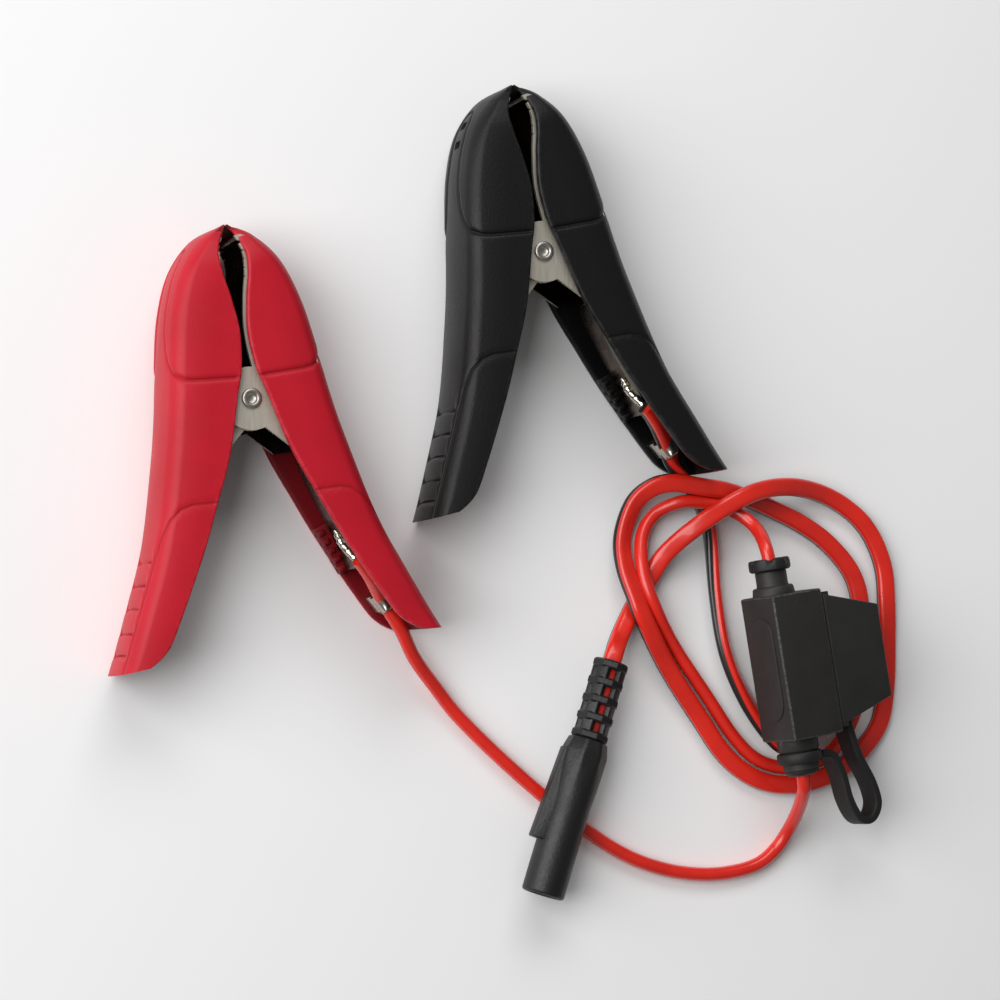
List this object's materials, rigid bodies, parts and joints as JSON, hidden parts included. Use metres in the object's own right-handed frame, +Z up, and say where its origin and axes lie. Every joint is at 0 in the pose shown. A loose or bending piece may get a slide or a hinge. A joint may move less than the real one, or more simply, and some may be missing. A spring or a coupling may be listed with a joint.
{
  "type": "battery clamp lead set",
  "caption": "Battery charger lead set: two hinged spring clamps, in-line blade fuse holder with strapped cap, moulded plug and looped red and black cable.",
  "frame": {"origin": "on the surface the set lies on, under the middle of the box round its clamps, fuse holder and strap", "axes": "+Z up off that surface and along the clamp hinges; +Y towards the clamp tips; +X towards the fuse holder"},
  "size_m": [0.195, 0.1864, 0.0234],
  "materials": {
    "red_cover": "satin",
    "black_cover": "satin, fine grain",
    "nickel_plate": "nickel plated",
    "rivet_metal": "plated",
    "spring_steel": "oiled",
    "solder": "bright",
    "holder_plastic": "fine grain",
    "soft_rubber": "matt",
    "fuse_plastic": "translucent",
    "tin_plate": "tin plated",
    "brass": "bright",
    "connector_plastic": "satin",
    "red_wire": "glossy vinyl",
    "twin_insulation": "glossy vinyl, red over black",
    "sleeve_plastic": "heat-shrink"
  },
  "bodies": {
    "lead_set": {"red_wired_cover": "red_cover", "red_wired_jaw": "nickel_plate", "red_rivet": "rivet_metal", "red_spring": "spring_steel", "red_wire_grip": "nickel_plate", "red_solder_joint": "solder", "black_wired_cover": "black_cover", "black_wired_jaw": "nickel_plate", "black_rivet": "rivet_metal", "black_spring": "spring_steel", "black_wire_grip": "nickel_plate", "black_solder_joint": "solder", "holder_body": "holder_plastic", "upper_grommet": "soft_rubber", "lower_grommet": "soft_rubber", "cap_strap": "soft_rubber", "terminal_in": "brass", "terminal_out": "brass", "connector_housing": "connector_plastic", "connector_face": "connector_plastic", "strain_relief": "connector_plastic", "contact_positive": "brass", "contact_negative": "brass", "twin_cable": "twin_insulation", "fuse_feed_wire": "red_wire", "positive_wire": "red_wire", "splice_sleeve": "sleeve_plastic"},
    "red_free_half": {"red_free_cover": "red_cover", "red_free_jaw": "nickel_plate"},
    "black_free_half": {"black_free_cover": "black_cover", "black_free_jaw": "nickel_plate"},
    "cap": {"holder_cap": "holder_plastic"},
    "fuse": {"fuse_body": "fuse_plastic", "fuse_blades": "tin_plate"}
  },
  "joints": [
    {"name": "red_clamp_hinge", "type": "hinge", "parent": "lead_set", "child": "red_free_half", "pos_m": [-0.065, 0.0115, 0.011], "axis": [0, 0, 1], "range_deg": [0, 40], "stiffness_Nm_per_rad": 0.32, "springref_deg": -68.75, "deforming": ["red_spring"]},
    {"name": "black_clamp_hinge", "type": "hinge", "parent": "lead_set", "child": "black_free_half", "pos_m": [0.0035, 0.0476, 0.011], "axis": [0, 0, 1], "range_deg": [0, 40], "stiffness_Nm_per_rad": 0.32, "springref_deg": -68.75, "deforming": ["black_spring"]},
    {"name": "cap_slide", "type": "slide", "parent": "lead_set", "child": "cap", "axis": [0.9713, 0.1625, -0.1736], "range_m": [0, 0.013], "deforming": ["cap_strap"]},
    {"name": "fuse_slide", "type": "slide", "parent": "lead_set", "child": "fuse", "axis": [0.9713, 0.1625, -0.1736], "range_m": [0, 0.0091]}
  ],
  "couplings": [
    {"joint": "fuse_slide", "follows": "cap_slide", "ratio": 0.7}
  ]
}
